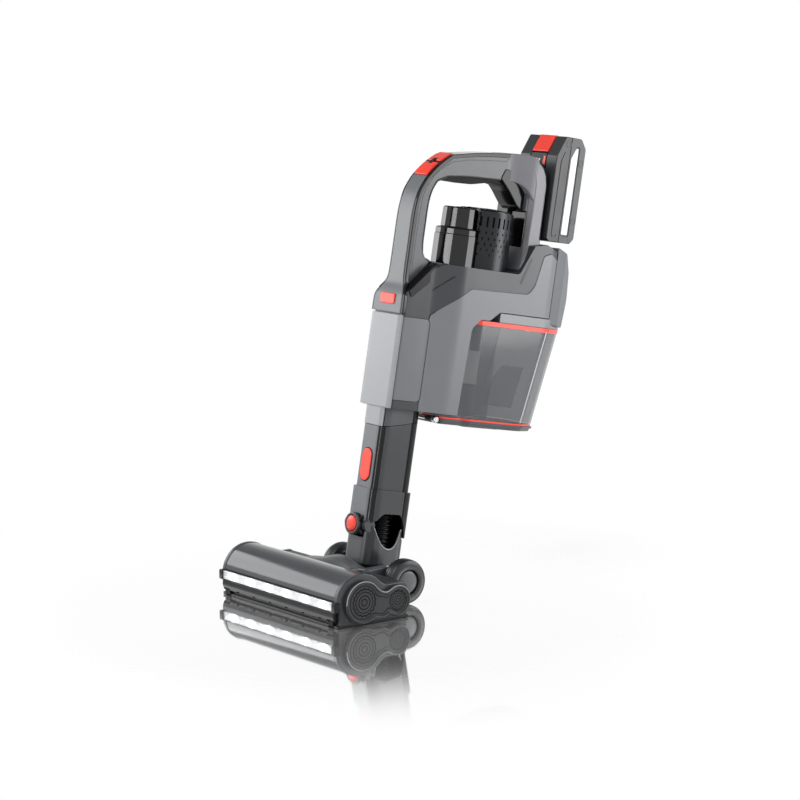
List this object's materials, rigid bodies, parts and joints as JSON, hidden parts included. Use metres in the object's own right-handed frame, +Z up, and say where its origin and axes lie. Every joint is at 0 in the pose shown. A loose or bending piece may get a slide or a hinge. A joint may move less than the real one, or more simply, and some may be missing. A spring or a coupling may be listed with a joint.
{
  "type": "cordless stick vacuum cleaner",
  "caption": "Cordless stick vacuum cleaner with a lit motorised floor head, knee-jointed neck, loop handle, clip-in battery and see-through dust bin.",
  "frame": {"origin": "on the floor under the middle of the floor head's sole plate", "axes": "+Z up, -Y towards the front of the floor head, +X to the machine's left as it faces forward"},
  "size_m": [0.25, 0.4609, 0.5591],
  "materials": {
    "head_black": "gloss",
    "head_gloss": "high gloss",
    "dark_grey": "satin",
    "mid_grey": "satin",
    "light_grey": "satin",
    "panel_grey": "satin",
    "black_gloss": "gloss",
    "black_rubber": "matt",
    "red": "satin",
    "steel": "brushed",
    "bristle": "bristle",
    "clear_lens": "clear",
    "smoke_clear": "smoked",
    "board_green": "satin",
    "belt_rubber": "matt",
    "tyre_rubber": "matt",
    "cell_wrap": "gloss",
    "filter_white": "pleated"
  },
  "bodies": {
    "floor_head": {"sole_plate": "head_black", "head_housing": "head_black", "head_cover": "head_gloss", "led_board": "board_green", "led_lens": "clear_lens", "end_cap_left": "head_black", "end_cap_right": "head_black", "head_motor": "steel", "drive_belt": "belt_rubber", "brush_bearings": "steel", "rear_fork": "mid_grey", "wheel_axle": "steel"},
    "brush": {"brush_core": "dark_grey", "brush_bristles": "bristle"},
    "motor_rotor": {"motor_pulley": "steel"},
    "front_roller_pair": {"front_rollers": "black_rubber"},
    "wheel_left": {"tyre_left": "tyre_rubber", "hub_left": "mid_grey"},
    "wheel_right": {"tyre_right": "tyre_rubber", "hub_right": "mid_grey"},
    "neck": {"neck_yoke": "dark_grey", "neck_hose": "black_rubber"},
    "cup": {"swivel_cup": "dark_grey", "knee_pin": "steel", "knee_hose": "black_rubber"},
    "wand": {"knee_collar": "dark_grey", "wand_liner": "black_gloss", "wand_front_shell": "mid_grey", "wand_rear_shell": "dark_grey"},
    "knee_release": {"knee_button": "red"},
    "wand_release": {"wand_button": "red"},
    "body": {"body_nozzle": "mid_grey", "trunk_cover": "light_grey", "housing_left": "dark_grey", "housing_right": "dark_grey", "side_panel_left": "panel_grey", "side_panel_right": "panel_grey", "rear_cover": "mid_grey", "handle_left": "dark_grey", "handle_right": "dark_grey", "handle_front_strip": "mid_grey", "grip_insert": "black_rubber", "battery_dock": "dark_grey", "fan_motor": "steel", "motor_housing": "black_gloss", "control_board": "board_green"},
    "switch": {"power_switch": "red"},
    "bin_release": {"bin_button": "red"},
    "fan": {"impeller": "light_grey"},
    "filter_cup": {"filter_cap": "black_gloss", "filter_element": "filter_white"},
    "battery": {"battery_case": "dark_grey", "battery_cover": "mid_grey", "battery_cells": "cell_wrap"},
    "battery_release": {"battery_latch": "red"},
    "bin": {"bin_cup": "smoke_clear", "bin_seal": "red", "cyclone": "light_grey", "lid_pin": "steel"},
    "lid": {"bin_lid": "mid_grey"}
  },
  "joints": [
    {"name": "brush_spin", "type": "hinge", "parent": "floor_head", "child": "brush", "pos_m": [0, -0.016, 0.028], "axis": [1, 0, 0], "continuous": true},
    {"name": "motor_spin", "type": "hinge", "parent": "floor_head", "child": "motor_rotor", "pos_m": [0, 0.034, 0.024], "axis": [1, 0, 0], "continuous": true},
    {"name": "wheel_left_spin", "type": "hinge", "parent": "floor_head", "child": "wheel_left", "pos_m": [0, 0.092, 0.028], "axis": [1, 0, 0], "continuous": true},
    {"name": "wheel_right_spin", "type": "hinge", "parent": "floor_head", "child": "wheel_right", "pos_m": [0, 0.092, 0.028], "axis": [1, 0, 0], "continuous": true},
    {"name": "front_roller_spin", "type": "hinge", "parent": "floor_head", "child": "front_roller_pair", "pos_m": [0, -0.0475, 0.005], "axis": [1, 0, 0], "continuous": true},
    {"name": "neck_pitch", "type": "hinge", "parent": "floor_head", "child": "neck", "pos_m": [0, 0.092, 0.028], "axis": [-1, 0, 0], "range_deg": [-10, 60], "deforming": ["neck_hose"]},
    {"name": "neck_swivel", "type": "hinge", "parent": "neck", "child": "cup", "pos_m": [0, 0.08806, 0.02869], "axis": [0, 0.1736, 0.9848], "range_deg": [-60, 60]},
    {"name": "knee_bend", "type": "hinge", "parent": "cup", "child": "wand", "pos_m": [0, 0.07189, 0.09247], "axis": [1, 0, 0], "range_deg": [0, 80], "deforming": ["knee_hose"]},
    {"name": "knee_button_press", "type": "slide", "parent": "wand", "child": "knee_release", "axis": [0, 0.9848, -0.1736], "range_m": [0, 0.0025], "stiffness_N_per_m": 600},
    {"name": "wand_button_press", "type": "slide", "parent": "wand", "child": "wand_release", "axis": [0, 0.9848, -0.1736], "range_m": [0, 0.002], "stiffness_N_per_m": 600},
    {"name": "body_pull_out", "type": "slide", "parent": "wand", "child": "body", "axis": [0, 0.1736, 0.9848], "range_m": [0, 0.06]},
    {"name": "power_switch_rock", "type": "hinge", "parent": "body", "child": "switch", "pos_m": [0, 0.18977, 0.53066], "axis": [1, 0, 0], "range_deg": [0, 8]},
    {"name": "bin_button_press", "type": "slide", "parent": "body", "child": "bin_release", "axis": [0, 0.9848, -0.1736], "range_m": [0, 0.0025], "stiffness_N_per_m": 600},
    {"name": "fan_spin", "type": "hinge", "parent": "body", "child": "fan", "pos_m": [0, 0.26264, 0.34671], "axis": [0, 0.1736, 0.9848], "continuous": true},
    {"name": "filter_cap_lift", "type": "slide", "parent": "body", "child": "filter_cup", "axis": [0, 0.1736, 0.9848], "range_m": [0, 0.022]},
    {"name": "battery_slide", "type": "slide", "parent": "body", "child": "battery", "axis": [0, 0.1736, 0.9848], "range_m": [0, 0.07]},
    {"name": "battery_latch_press", "type": "slide", "parent": "battery", "child": "battery_release", "axis": [0, 0.809, -0.5878], "range_m": [0, 0.0025], "stiffness_N_per_m": 600},
    {"name": "bin_pull_off", "type": "slide", "parent": "body", "child": "bin", "axis": [0, 0.9848, -0.1736], "range_m": [0, 0.09]},
    {"name": "lid_hinge", "type": "hinge", "parent": "bin", "child": "lid", "pos_m": [0, 0.16299, 0.21755], "axis": [-1, 0, 0], "range_deg": [0, 75]}
  ],
  "couplings": [
    {"joint": "motor_spin", "follows": "brush_spin", "ratio": 1.8333}
  ]
}
